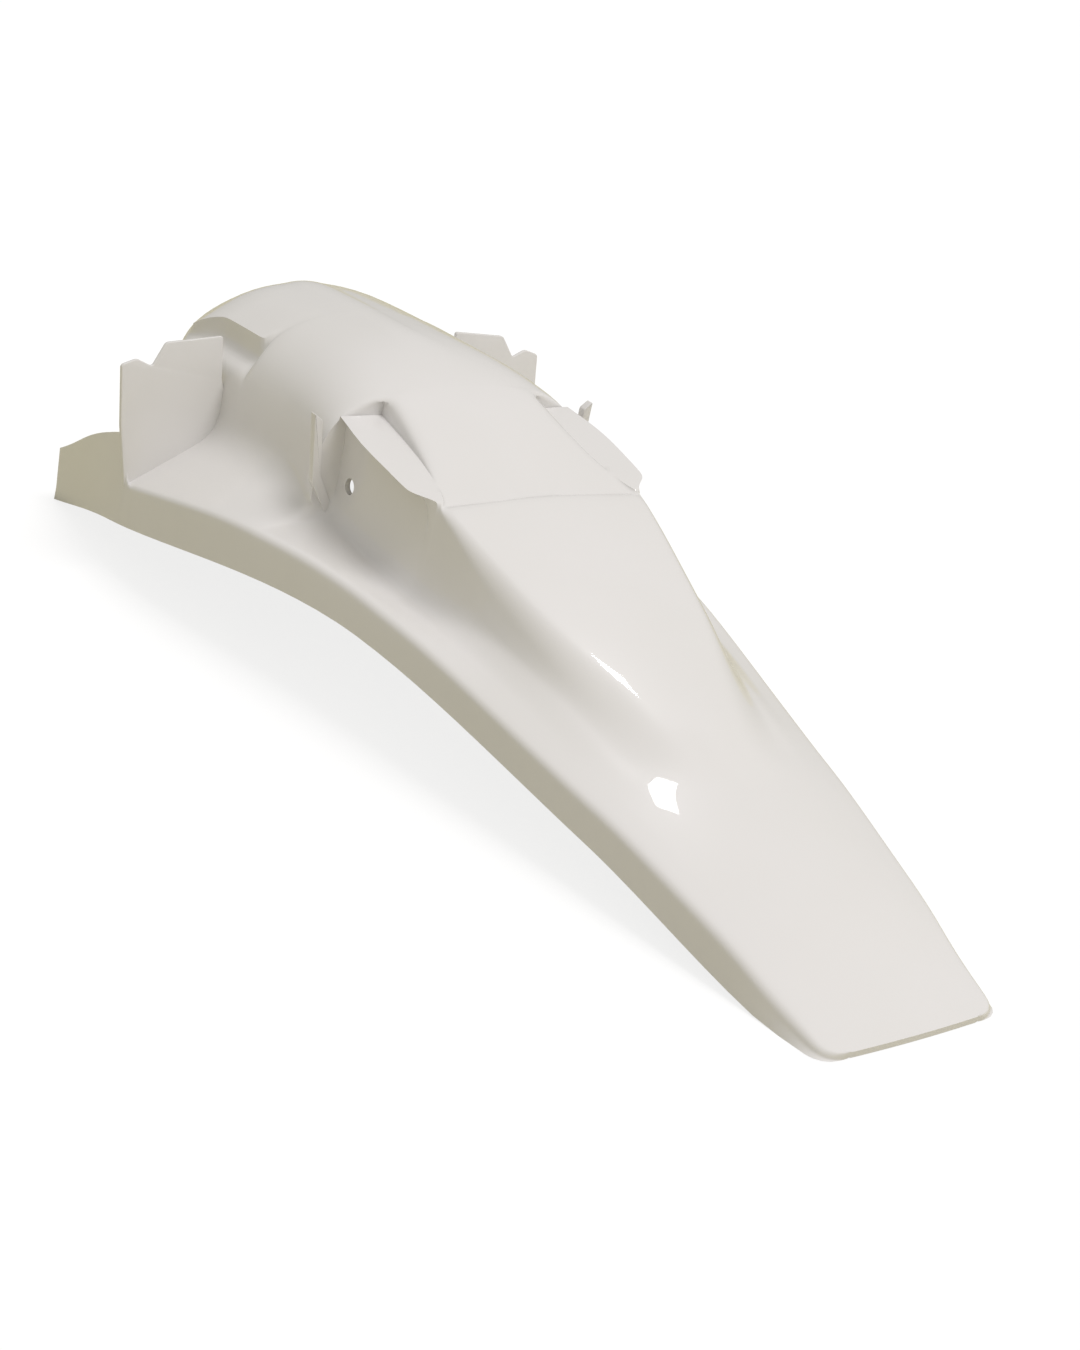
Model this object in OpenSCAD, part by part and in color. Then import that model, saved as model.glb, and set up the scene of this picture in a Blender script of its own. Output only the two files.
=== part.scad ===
// Rear fender of an off-road motorcycle, moulded in one piece.
// The frame stands as the fender lies: tail end and front wings on Z = 0,
// X to the right, Y towards the front of the motorcycle, Z up.

/* [Lengths along the fender] */
// Tail end to the rear end of the raised panel
tail_run = 146; // [130:1:160]
// Rear end of the raised panel to the seat step
panel_run = 169; // [150:1:190]
// Seat step to the front of the side ledges
ledge_run = 89; // [76:1:100]
// Front of the side ledges to the cross walls
hump_run = 133; // [122:1:150]
// Cross walls to the nose of the wheel hump
nose_run = 93; // [86:1:104]
// Nose of the hump to the front edge
lip_run = 10; // [8:1:20]

/* [Widths] */
// Width at the tail end
tail_width = 100; // [90:1:116]
// Width at the rear end of the raised panel
waist_width = 142; // [130:1:154]
// Width at the seat step
seat_width = 194; // [184:1:210]
// Width at the cross walls
wall_width = 268; // [256:1:280]
// Width at the front edge
front_width = 254; // [246:1:266]
// Radius of the tail corners in plan
tail_corner = 12; // [6:1:20]
// Width of the wheel hump
hump_width = 150; // [142:1:158]
// Width of the panel between its shoulders at the seat step
panel_width = 120; // [112:1:128]
// Width of each side ledge at its front
ledge_width = 25; // [18:1:28]
// Overhang of each side ledge over the wall below it
ledge_out = 10; // [5:1:12]

/* [Heights] */
// Lower edge at the top of its arch
arch_rise = 51; // [40:1:60]
// Lower edge at the rear end of the panel
tail_rise = 24; // [18:1:28]
// Lower edge at the cross walls
wall_rise = 27; // [20:1:34]
// Side skirt beside the tail
skirt_tail = 16; // [12:1:20]
// Side skirt beside the hump
skirt_hump = 25; // [20:1:30]
// Side skirt at the front edge
skirt_front = 19; // [15:1:24]
// Crown of the tail between its skirts
tail_crown = 12; // [8:1:16]
// Panel top at its rear end
panel_low = 58; // [54:1:62]
// Panel top at the seat step
panel_high = 118; // [112:1:124]
// Side ledges at their front
ledge_high = 131; // [127:1:134]
// Crest of the wheel hump
hump_high = 155; // [150:1:162]
// Drop from the panel to the seat pan at the step
seat_step = 2; // [1:0.5:3]

/* [Wall] */
// Thickness of the moulding
wall = 2.8; // [2.2:0.1:3.4]
// Radius of the skirt's upper edge
rim_r = 5; // [4:0.5:7]

/* [Cross walls and wings] */
// Height of the cross walls above the floor beside the hump
cross_high = 54; // [46:1:60]
// Forward lean of the cross walls, degrees
cross_lean = 7; // [0:1:12]
// Depth of the notch in each cross wall
notch_deep = 13; // [8:1:18]
// Height of the wings above the floor at the cross walls
wing_high = 30; // [20:1:40]

/* [Fixings] */
// Diameter of the side fixing holes
bolt_d = 8.4; // [6.4:0.2:10]
// Height of the side fixing holes
bolt_z = 97; // [90:1:106]
// Distance of the side fixing holes behind the ledge fronts
bolt_back = 12; // [9:1:24]
// Flare of the hump wall in front of the side fixings
flare = 5; // [3:1:9]

/* [Hidden] */
$fn = 48;
// Inward lean of the skirts
skirt_draft = 2;
// Outer face left below the skirt's round at the tail end
end_lip = 0.5;
// Round at the foot of the panel and hump walls
foot_r = 8;
// Forward sweep of the tail end's corners
tail_bow = 1;
// Smallest round along the panel's shoulders
shoulder_r = 4;
// Width and height of the hump's rounded shoulders at its rear, and of its dome
hump_shoulder = 45;
hump_round = 32;
dome_shoulder = 65;
dome_round = 45;
// Fall from the ridge line to the shoulders
ridge_fall = 1.5;
// Dip of the side channel beside the seat step
gutter_deep = 4;
// Rise of the floor from the skirt to the hump
floor_rise = 28;
// The panel starts to rise this far behind its rear end, and fades in over a length
panel_start = 26;
panel_fade = 44;
// Share of the panel, from its rear end, along which its sides are a soft sweep
soft_share = 0.85;
// Length in which the flare of the hump wall dies out
flare_run = 18;
// Roll of the hump down to its nose, and its narrowing there
roll_run = 62;
nose_pull = 0.4;
// The wall below the ledges stands this far inside the hump's wall
ledge_inset = 8;
// Least width of the hump's top between the centre and its shoulders
hump_flat = 6;
// Recess in the hump's shoulder from behind the cross walls to the nose: its
// start behind them, depth, sill, and the sill's place round the shoulder, degrees
pocket_run = 12;
pocket_deep = 13;
pocket_lip = 1.5;
pocket_low = 15;
// The recess ends this far round the nose's roll
pocket_end = 0.55;
// Notch of the cross walls: distance from the outer edge, width of its slope and in all
notch_out = 8;
notch_slope = 9;
notch_wide = 17;
// Cross walls: height of the outer edge as a share, fall of the top towards the
// notch, level part of the top beside the notch, step at the outer edge, and seat
// in the hump and floor
cross_side = 0.82;
cross_fall = 3;
cross_flat = 6;
cross_step = 1;
cross_seat = 0.5;
// Rows on both sides of a step lie this far apart
gap = 0.6;

// Stations along the fender, measured from the tail end
y_panel = tail_run;
y_step = y_panel + panel_run;
y_ledge = y_step + ledge_run;
y_wall = y_ledge + hump_run;
y_nose = y_wall + nose_run;
length = y_nose + lip_run;
y_arch = y_step + 0.3 * ledge_run;
y_roll = y_nose - roll_run;
y_cross = y_wall - (cross_high + floor_rise) * tan(cross_lean);
y_jump = y_cross - 0.7 * wall;
y_pocket = y_jump - pocket_run;
y_bolt = y_ledge - bolt_back;

// Cubic curve through points [station, value], flat at its turning points
function rise(p, i) = (p[i + 1][1] - p[i][1]) / (p[i + 1][0] - p[i][0]);
function slope(p, i) =
    i == 0 ? rise(p, 0)
    : i == len(p) - 1 ? rise(p, i - 1)
    : rise(p, i - 1) * rise(p, i) <= 0 ? 0
    : (p[i + 1][1] - p[i - 1][1]) / (p[i + 1][0] - p[i - 1][0]);
function span_of(p, y) = max([for (i = [0:len(p) - 2]) if (i == 0 || p[i][0] <= y) i]);
function curve(p, y) =
    let (i = span_of(p, y), w = p[i + 1][0] - p[i][0], t = (y - p[i][0]) / w)
    p[i][1] * (1 + 2 * t) * (1 - t) ^ 2 + slope(p, i) * w * t * (1 - t) ^ 2
    + p[i + 1][1] * t * t * (3 - 2 * t) + slope(p, i + 1) * w * t * t * (t - 1);
function mix(a, b, t) = a + (b - a) * t;
function ease(t) = let (s = min(1, max(0, t))) s * s * (3 - 2 * s);

// Plan outline and side skirts
function corner_cut(y) = y < tail_corner ? tail_corner - sqrt(tail_corner ^ 2 - (tail_corner - y) ^ 2) : 0;
function half_width(y) =
    curve([[0, tail_width / 2], [y_panel, waist_width / 2], [y_step, seat_width / 2],
           [y_wall, wall_width / 2], [length, front_width / 2]], y) - corner_cut(y);
function edge_z(y) =
    curve([[0, 0], [0.28 * tail_run, 1], [y_panel, tail_rise], [y_arch, arch_rise],
           [y_wall, wall_rise], [length, 0]], y);
function skirt(y) =
    curve([[0, wall + end_lip], [0.2 * tail_run, 0.65 * skirt_tail], [0.45 * tail_run, skirt_tail],
           [y_panel + 0.3 * panel_run, skirt_tail], [y_ledge + 0.3 * hump_run, skirt_hump],
           [length, skirt_front]], y);
function skirt_x(y) = half_width(y) - skirt_draft;
function rim_z(y) = edge_z(y) + skirt(y);

// Tail top: a plain crown between the skirts
function crown(y) = curve([[0, 0], [0.2 * tail_run, 0.35 * tail_crown], [0.5 * tail_run, 0.7 * tail_crown],
                           [y_panel, tail_crown]], y);
function tail_z(x, y) =
    rim_z(y) + crown(min(y, y_panel)) * (1 - pow(min(1, abs(x) / skirt_x(y)), 2.2));
function tail_slope(y) = atan(2.2 * crown(min(y, y_panel)) / skirt_x(y));

// Foot of the panel and hump walls
function on_hump(y) = y > y_ledge;
function on_pan(y) = y > y_step && !on_hump(y);
function nose_part(y) = min(1, max(0, (y - y_roll) / roll_run));
function nose_high(y) = pow(1 - pow(nose_part(y), 3), 1 / 3);
function dome(y) = ease((y - y_ledge) / (0.65 * hump_run));
function bulge(y) = on_hump(y) ? flare * exp(-(y - y_ledge) / flare_run) : 0;
function pull(y) = 1 - nose_pull * pow(nose_part(y), 4);
function foot_x(y) =
    on_hump(y) ? (hump_width / 2 + skirt_draft) * pull(y) + bulge(y)
    : curve([[0, 0.2 * panel_width], [y_panel, 0.42 * panel_width],
             [y_panel + 0.28 * panel_run, 0.55 * panel_width],
             [y_panel + 0.55 * panel_run, 0.6 * panel_width],
             [y_panel + 0.8 * panel_run, 0.59 * panel_width], [y_step, panel_width / 2 + 6],
             [y_ledge, hump_width / 2 - ledge_inset]], y);
function foot_z(y) =
    rim_z(y) + curve([[y_panel, 8], [y_panel + 0.4 * panel_run, 10], [y_panel + 0.73 * panel_run, 5],
                      [y_step, -gutter_deep], [y_step + 0.5 * ledge_run, -0.7 * gutter_deep],
                      [y_ledge, 4], [y_ledge + 0.33 * hump_run, 0.75 * floor_rise],
                      [y_wall, floor_rise], [length, floor_rise + 2]], max(y, y_panel));
function foot_slope(y) = atan((foot_z(y) - rim_z(y)) / (skirt_x(y) - foot_x(y)));
function floor_slope(y) = mix(tail_slope(y), foot_slope(y), panel_share(foot_x(y), y));
function lean_in(y) =
    on_hump(y) ? skirt_draft
    : curve([[y_panel, 1], [y_panel + 0.66 * panel_run, 4], [y_step, 5.5], [y_ledge, 1]], max(y, y_panel));
function top_x(y) = foot_x(y) - lean_in(y);

// Ridge line on the centre plane, side ledges and rounded shoulders
function crest(y) =
    y <= y_step
    ? let (t = max(-0.3, (y - y_panel) / panel_run)) mix(panel_low, panel_high, t) + 6 * t * (1 - t)
    : curve([[y_step, panel_high - seat_step], [y_ledge, ledge_high + 14],
             [y_ledge + 0.6 * hump_run, hump_high], [y_roll, hump_high - 3], [y_nose, hump_high - 8]], y);
function ledge_z(y) =
    let (t = (y - y_step) / ledge_run) mix(panel_high - seat_step, ledge_high, t) + 4 * t * (1 - t);
function ledge_in(y) = mix(3, ledge_width - 0.4 * ledge_out, pow((y - y_step) / ledge_run, 0.6));
function ledge_over(y) =
    max(0, curve([[y_step + 0.04 * ledge_run, 0], [y_step + 0.17 * ledge_run, ledge_out],
                  [y_step + 0.55 * ledge_run, ledge_out], [y_ledge, 0.4 * ledge_out]], y));
function shelf_x(y) =
    on_hump(y) ? max(hump_flat, hump_width / 2 - mix(hump_shoulder, dome_shoulder, dome(y))) * pull(y)
    : on_pan(y) ? mix(0.5, 1, (y - y_step) / ledge_run) * (hump_width / 2 - hump_shoulder)
    : min(top_x(y) - shoulder_r,
          curve([[0, 0.06 * panel_width], [y_panel, 0.09 * panel_width],
                 [y_panel + 0.26 * panel_run, 0.2 * panel_width],
                 [y_panel + 0.44 * panel_run, 0.31 * panel_width],
                 [y_panel + 0.65 * panel_run, 0.38 * panel_width], [y_step, 0.47 * panel_width]], y));
function round_high(y) =
    on_hump(y) ? mix(hump_round, dome_round, dome(y))
    : on_pan(y) ? mix(1.5, hump_round, pow((y - y_step) / ledge_run, 2))
    : min(curve([[y_panel, 8], [y_panel + 0.4 * panel_run, 11], [y_panel + 0.66 * panel_run, 12],
                 [y_panel + 0.85 * panel_run, 7], [y_step, shoulder_r]], max(y, y_panel)),
          crest(y) - ridge_fall - foot_z(y) - foot_r);
function top_z(y) = on_pan(y) ? ledge_z(y) : crest(y) - ridge_fall - round_high(y);
function low_z(y) = crest(y) - ridge_fall - round_high(y);

// Right half of the section, from the skirt's lower edge to the centre, as
// [x, z]; depth moves it inwards through the wall
function skirt_pts(y, depth) =
    let (w = half_width(y) - depth, e = edge_z(y), s = skirt(y), turn = 90 - floor_slope(y),
         r = max(wall + 0.3, min(rim_r, 0.7 * s)), z = e + s - min(r * tan(turn / 2), s - 0.2))
    concat([[w, e], [w - skirt_draft / 2, mix(e, z, 0.5)]],
           [for (k = [0:3]) [w - skirt_draft - (r - depth) * (1 - cos(k * turn / 3)),
                             z + (r - depth) * sin(k * turn / 3)]]);
function wing(y) =
    y < y_cross - 0.6 * wall ? 0
    : curve([[y_cross - wall, wing_high], [mix(y_wall, y_nose, 0.45), 0.8 * wing_high],
             [mix(y_wall, y_nose, 0.85), 0.58 * wing_high], [length, 0.45 * wing_high]], y);
function wing_pts(y) =
    let (x = skirt_x(y), z = rim_z(y), g = tan(floor_slope(y)))
    [[x, z + wing(y)], [x - wall, z + wing(y)], [x - wall - 0.4, z + g * (wall + 0.4)],
     [x - 2 * wall, z + g * 2 * wall]];
function floor_pts(y) =
    let (a = skirt_pts(y, 0)[5], b = [foot_x(y) + foot_r, foot_z(y) - foot_r * tan(foot_slope(y))])
    [for (t = [1 / 3, 2 / 3, 1]) [mix(a[0], b[0], t), mix(a[1], b[1], t)]];
function in_pocket(y) = y > y_pocket && nose_part(y) < pocket_end;
function pocket_share(y) = mix(1, 0.2, min(1, nose_part(y) / pocket_end));
function wall_pts(y, winged) =
    let (a = [foot_x(y), foot_z(y) + 0.6 * foot_r], c = in_pocket(y) ? pocket_low : 0,
         b = [top_x(y) - (top_x(y) - shelf_x(y)) * (1 - cos(c)), top_z(y) + round_high(y) * sin(c)])
    winged && on_pan(y) && ledge_over(y) > 0
    ? [a, [b[0], b[1] - wall], [b[0] + ledge_over(y), b[1]]]
    : [a, [mix(a[0], b[0], 0.5), mix(a[1], b[1], 0.5)], b];
function shoulder_pts(y) =
    let (s = shelf_x(y), a = top_x(y) - bulge(y) - s, b = round_high(y), in = top_x(y) - ledge_in(y),
         cut = in_pocket(y),
         q = on_pan(y) ? acos(min(1, (in - s) / hump_shoulder))
             : cut ? acos(cos(pocket_low) - pocket_share(y) * pocket_deep / a) : 0,
         qs = on_pan(y) ? [q, q, 45 + q / 2, 90] : cut ? [q, q, 67.5, 90] : [22.5, 45, 67.5, 90],
         w = on_pan(y) ? hump_shoulder : a, sill = b * sin(pocket_low) + pocket_share(y) * pocket_lip)
    [for (k = [0:3]) [s + w * cos(qs[k]) + bulge(y) * pow(cos(qs[k]), 2) + (on_pan(y) && k == 0 ? 1 : 0),
                      on_pan(y) && k == 0 ? top_z(y)
                      : low_z(y) + (cut && k == 0 ? sill : b * sin(qs[k]))]];
function top_pts(y) = [for (t = [2 / 3, 1 / 3, 0]) [shelf_x(y) * t, crest(y) - ridge_fall * t * t]];

// Towards the tail the panel's sides soften to a sweep from foot to top
function soft(y) = y > y_step ? 0 : ease(1 - (y - y_panel) / (soft_share * panel_run));
function side_pts(y, winged) =
    let (h = concat(wall_pts(y, winged), shoulder_pts(y)), a = h[0], b = h[6])
    [for (k = [0:6]) let (t = k / 6)
        [mix(h[k][0], mix(a[0], b[0], t), soft(y)), mix(h[k][1], mix(a[1], b[1], ease(t)), soft(y))]];

// The panel fades into the tail's crown round its rear end, and the hump
// rolls down to the floor at its nose
function panel_share(x, y) =
    y > y_step ? 1 : ease((y - y_panel + panel_start - min(17, 9 * pow(x / 37, 2))) / panel_fade);
function nose_z(x, y) = foot_z(y) + 5 * (1 - pow(min(1, x / foot_x(y)), 2));
function settle(p, y) =
    y > y_roll ? [p[0], mix(nose_z(p[0], y), p[1], nose_high(y))]
    : [p[0], mix(tail_z(p[0], y), p[1], panel_share(p[0], y))];
function inner_pts(y, winged) =
    concat([for (p = floor_pts(y)) settle(p, min(y, y_roll))],
           [for (p = concat(side_pts(y, winged), top_pts(y))) settle(p, y)]);
function half_section(y, winged) =
    let (s = skirt_pts(y, 0))
    concat(winged && wing(y) > 0 ? concat([s[0], s[1]], wing_pts(y)) : s, inner_pts(y, winged));

// Rows of points from the left skirt to the right skirt; the wings' ends lean
// with the cross walls, and the tail end's corners sweep forwards
function lean_y(y, up) = up * tan(cross_lean) * max(0, 1 - (y - y_jump) / (3 * wall));
function bow_y(x, y) = tail_bow * pow(x / half_width(y), 2) * pow(max(0, 1 - y / (0.3 * tail_run)), 2);
function place(p, k, y) =
    [p[0], y + bow_y(p[0], y) + (k == 2 || k == 3 ? lean_y(y, max(0, p[1] - rim_z(y))) : 0), p[1]];
function mirrored(p) = [-p[0], p[1], p[2]];
function row(h, y) =
    let (n = len(h), right = [for (k = [0:n - 1]) place(h[k], k, y)])
    concat([for (p = right) mirrored(p)], [for (k = [n - 2:-1:0]) right[k]]);
function unit(v) = v / norm(v);
function normal(g, i, j) =
    let (du = unit(g[i][j + 1] - g[i][j]) + unit(g[i][j] - g[i][j - 1]),
         dv = i == 0 ? g[1][j] - g[0][j]
              : i == len(g) - 1 ? g[i][j] - g[i - 1][j]
              : unit(g[i + 1][j] - g[i][j]) + unit(g[i][j] - g[i - 1][j]))
    unit(cross(du, dv));
function lower_row(g, ys, i) =
    let (n = len(g[i]), s = skirt_pts(ys[i], wall))
    [for (j = [0:n - 1])
        j < 6 ? mirrored(place(s[j], 0, ys[i]))
        : j > n - 7 ? place(s[n - 1 - j], 0, ys[i])
        : g[i][j] - wall * normal(g, i, j)];

// Places of the rows, closer where the form turns or steps
function run(a, b, n, p = 1) = [for (k = [1:n]) mix(a, b, pow(k / n, p))];
function places() =
    concat([for (k = [0:4]) tail_corner * (1 - cos(22.5 * k))],
           run(tail_corner, y_panel - 20, 8), run(y_panel - 20, y_panel + 30, 9),
           run(y_panel + 30, y_step - gap / 2, 9), [y_step + gap / 2],
           [for (t = [0.04, 0.09, 0.14, 0.2]) y_step + t * ledge_run],
           run(y_step + 0.2 * ledge_run, y_ledge - gap / 2, 5), [y_ledge + gap / 2],
           run(y_ledge + gap / 2, y_pocket - gap / 2, 7, 1.3), [y_pocket + gap / 2, y_jump, y_jump + gap],
           run(y_jump + gap, y_roll, 4),
           [for (k = [1:10]) y_roll + roll_run * (1 - pow(1 - k / 10, 2))],
           run(y_nose, length, 3));

// Closed mesh between an upper and a lower grid of points
module sheet(upper, lower) {
    m = len(upper);
    n = len(upper[0]);
    function at(side, i, j) = (side * m + i) * n + j;
    function quad(a, b, c, d) = [[a, b, c], [a, c, d]];
    function skin(s, i, j) =
        s == 0 ? quad(at(0, i, j), at(0, i + 1, j), at(0, i + 1, j + 1), at(0, i, j + 1))
        : quad(at(1, i, j), at(1, i, j + 1), at(1, i + 1, j + 1), at(1, i + 1, j));
    function edge(s, i, j) = quad(at(s, i, j), at(1 - s, i, j), at(1 - s, i + 1, j), at(s, i + 1, j));
    function end(s, i, j) = quad(at(s, i, j), at(s, i, j + 1), at(1 - s, i, j + 1), at(1 - s, i, j));
    faces = concat([for (s = [0, 1], i = [0:m - 2], j = [0:n - 2], f = skin(s, i, j)) f],
                   [for (i = [0:m - 2], f = concat(edge(0, i, 0), edge(1, i, n - 1))) f],
                   [for (j = [0:n - 2], f = concat(end(0, 0, j), end(1, m - 1, j))) f]);
    polyhedron([for (g = [upper, lower], r = g, p = r) p], faces, convexity = 8);
}

module moulding() {
    ys = places();
    plain = [for (y = ys) row(half_section(y, false), y)];
    sheet([for (y = ys) row(half_section(y, true), y)],
          [for (i = [0:len(ys) - 1]) lower_row(plain, ys, i)]);
}

// Cross wall between the hump and the skirt, with its notch, on the right
module cross_wall() {
    x = wall_width / 2;
    in = hump_width / 2;
    z0 = rim_z(y_cross);
    top = foot_z(y_cross) + cross_high - z0;
    side = cross_side * top;
    shoulder = low_z(y_cross) - z0;
    translate([0, y_cross, z0])
        rotate([90 - cross_lean, 0, 0])
            linear_extrude(wall)
                polygon([[skirt_x(y_cross) + cross_seat, -2 * cross_seat],
                         [x + cross_step, side / 2],
                         [x + cross_step, side],
                         [x - notch_out, side + cross_fall],
                         [x - notch_out - notch_slope, top - cross_fall - notch_deep],
                         [x - notch_out - notch_wide, top - cross_fall],
                         [x - notch_out - notch_wide - cross_flat, top - cross_fall + cross_seat],
                         [in + cross_seat, top],
                         [in + cross_seat, shoulder + cross_step],
                         [in - wall / 2, shoulder - 2 * wall],
                         [in, foot_z(y_cross) - z0 - wall / 2],
                         [skirt_x(y_cross) - wall, -wall / 2]]);
}

module bolt_hole() {
    translate([top_x(y_bolt) - 4 * wall, y_bolt, bolt_z])
        rotate([0, 90, 0])
            cylinder(d = bolt_d, h = 8 * wall);
}

module fender_shell() {
    color("white")
        translate([0, -length / 2, 0])
            difference() {
                union() {
                    moulding();
                    for (side = [0, 1])
                        mirror([side, 0, 0]) cross_wall();
                }
                for (side = [0, 1])
                    mirror([side, 0, 0]) bolt_hole();
            }
}

fender_shell();
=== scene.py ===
"""Rear fender of an off-road motorcycle: one glossy white moulding on a pale floor."""
import math
import bmesh
import bpy
from bpy.props import FloatProperty, FloatVectorProperty, PointerProperty
from mathutils import Matrix, Vector


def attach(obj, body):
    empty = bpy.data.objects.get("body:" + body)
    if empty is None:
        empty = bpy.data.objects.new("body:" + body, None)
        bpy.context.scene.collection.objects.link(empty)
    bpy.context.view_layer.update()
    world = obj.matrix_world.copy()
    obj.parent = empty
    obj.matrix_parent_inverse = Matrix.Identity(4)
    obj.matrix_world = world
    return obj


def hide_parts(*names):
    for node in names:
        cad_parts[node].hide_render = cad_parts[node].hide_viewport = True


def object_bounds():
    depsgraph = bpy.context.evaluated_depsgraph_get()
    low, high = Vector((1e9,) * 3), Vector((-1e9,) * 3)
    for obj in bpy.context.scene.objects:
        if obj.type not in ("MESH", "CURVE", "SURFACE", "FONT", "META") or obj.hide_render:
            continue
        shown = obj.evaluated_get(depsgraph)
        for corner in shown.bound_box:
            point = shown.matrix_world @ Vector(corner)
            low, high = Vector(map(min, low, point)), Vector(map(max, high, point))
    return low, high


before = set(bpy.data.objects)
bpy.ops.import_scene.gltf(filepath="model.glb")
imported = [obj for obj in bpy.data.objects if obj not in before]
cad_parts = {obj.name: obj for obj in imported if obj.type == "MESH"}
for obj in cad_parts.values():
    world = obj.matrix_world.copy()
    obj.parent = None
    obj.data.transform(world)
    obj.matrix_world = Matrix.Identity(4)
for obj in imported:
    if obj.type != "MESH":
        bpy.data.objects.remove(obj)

bl_info = {
    "name": "Moulded rear fender",
    "version": (1, 0, 0),
    "blender": (4, 5, 0),
    "location": "View3D > Sidebar > Fender",
    "description": "Builds the fender's moulding, its cross walls and the studio round it",
    "category": "Add Mesh",
}

MM = 0.001
NODE = "fender_shell"
CAD_LOW, CAD_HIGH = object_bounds()

# Lengths along the fender, in millimetres
TAIL_RUN, PANEL_RUN, LEDGE_RUN, HUMP_RUN, NOSE_RUN, LIP_RUN = 146, 169, 89, 133, 93, 10
ROLL_RUN, FLARE_RUN, POCKET_RUN, GAP = 62, 18, 12, 0.6
# Lesser sizes that the moulding keeps, in millimetres: rims, shoulders, ridge, floor, brow, recess and wings
SKIRT_DRAFT, END_LIP, RIM_R, RIM_R_OVER_WALL, RIM_FLAT = 2, 0.05, 5, 0.3, 0.2
TAIL_CORNER, TAIL_BOW, FOOT_R, SHOULDER_R = 9, 1, 8, 4
HUMP_SHOULDER, HUMP_ROUND, HUMP_FLAT = 45, 32, 6
DOME_SHOULDER, DOME_ROUND = 65, 45
RIDGE_FALL, PANEL_BOW, LEDGE_BOW, NOSE_BOW = 1.5, 6, 4, 5
GUTTER_DEEP, GUTTER_END, FLOOR_RISE, FRONT_RISE = 4, 4, 28, 2
HUMP_OVER_LEDGE, ROLL_FALL, NOSE_FALL = 14, 3, 8
FOOT_OUT, LEDGE_INSET, LEDGE_START = 6, 8, 3
PANEL_START, PANEL_FADE = 26, 44
BROW_X, BROW_BOW, BROW_MOST = 37, 9, 17
POCKET_DEEP, POCKET_LIP = 13, 1.5
WING_STEP, BROW_BACK, BROW_AHEAD = 0.4, 20, 30
BORE_SEGMENTS, BORE_WALLS = 48, 8    # facets of a hole's cutter, and its length in walls
# Shares and powers that shape its curves
CROWN_POWER, NOSE_POWER, NOSE_PULL, SHARE_OF_DOME, POCKET_END = 2.2, 3, 0.4, 0.65, 0.55
WING_START, ROW_BEFORE_WING, WING_END, LEAN_FADE, BOW_RUN = 0.6, 0.7, 0.45, 3, 0.3
# Angles round the shoulder, in degrees: its corners, and where the recess starts
SHOULDER_TURNS, POCKET_LOW = (22.5, 45, 67.5, 90), 15

# The cross walls and the blades in front of the ledges, in millimetres
NOTCH_OUT, NOTCH_SLOPE, NOTCH_WIDE = 8, 9, 17
CROSS_SIDE, CROSS_FALL, CROSS_FLAT, CROSS_STEP, CROSS_SEAT = 0.82, 3, 6, 1, 0.5
CROSS_CORNER, CROSS_RIM = 1.6, 0.7
BLADE_AHEAD, BLADE_LONG, BLADE_SINK, BLADE_RISE = 3, 5, 5, 2.5
BLADE_SEAT, BLADE_FOOT, BLADE_BACK, BLADE_BELLY, BLADE_OUT = 2, 3, 12.5, 17, 19.5
BLADE_TIP, BLADE_TIP_FALL, BLADE_CORNER, BLADE_RIM = 5, 4, 0.9, 0.4
BLADE_BELLY_AT, BLADE_BACK_AT = 0.36, 0.42    # shares of its height

# Columns of a half row, counted from the skirt's edge to the centre, and the creases along them
SKIRT_COLUMNS, WING_COLUMNS, LEDGE_COLUMNS = 6, (2, 3), (10, 11, 12)
FLARE_COLUMNS, RECESS_COLUMN = (9, 10, 11, 12), 13
RIM_CREASE, FORM_CREASE = 0.75, 0.6
# Angles between faces, in degrees, past which an edge is shaded sharp
MOULDING_SHARP, PLATE_SHARP = 38, 25

# Guides: share of a run, then the value there
TAIL_CROWN = ((0, 0), (0.2, 0.35), (0.5, 0.7), (1, 1))
TAIL_SKIRT = ((0.2, 0.65), (0.45, 1))
PANEL_FOOT = ((0, 0.39), (0.28, 0.44), (0.55, 0.485), (0.8, 0.53))
PANEL_FOOT_RISE = ((0, 8), (0.4, 10), (0.73, 5))
PANEL_LEAN = ((0, 1), (0.66, 4), (1, 5.5))
PANEL_SHELF = ((0, 0.09), (0.26, 0.2), (0.44, 0.31), (0.65, 0.38), (1, 0.47))
PANEL_ROUND = ((0, 8), (0.4, 11), (0.66, 12), (0.85, 7), (1, SHOULDER_R))
LEDGE_OVERHANG = ((0.04, 0), (0.17, 1), (0.55, 1), (1, 0.4))
WING_LINE = ((0.45, 0.8), (0.85, 0.58))

# The plastic's textures: scale, detail and roughness of each noise
CLOUDS, SINK_WAVES = (9.0, 3.0, 0.5), (22.0, 1.0, 0.4)
GRAIN, GLOSS_HAZE = (900.0, 2.0, 0.6), (60.0, 4.0, 0.65)
SHADE_FROM, SHADE_TO, SHADE_MOST = 0.35, 0.75, 0.22
WAVE_RELIEF, GRAIN_RELIEF, RELIEF_DEEP, RELIEF_STRENGTH = 0.9, 0.02, 0.0009, 0.25
ROUGH_LEAST, ROUGH_HAZE, PLASTIC_IOR, COAT_ROUGH = 0.34, 0.12, 1.49, 0.04
# The studio's wide key lamp, the small window that the gloss mirrors, the floor and the camera's sensor
KEY_TOWARDS, KEY_STRENGTH, KEY_SPREAD, KEY_COLOUR = (0.22, -0.32, 0.92), 1.75, 30, (1.0, 0.98, 0.995)
WINDOW_PLACE, WINDOW_AIM = (0.046, -0.092, 0.281), (-0.014, -0.205, 0.044)
WINDOW_SIZE, WINDOW_POWER = 0.03, 0.06
FLOOR_REACH, FLOOR_GLOW, PAPER_WHITE, SENSOR_WIDTH = 12.0, 0.78, 1.05, 36.0

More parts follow.
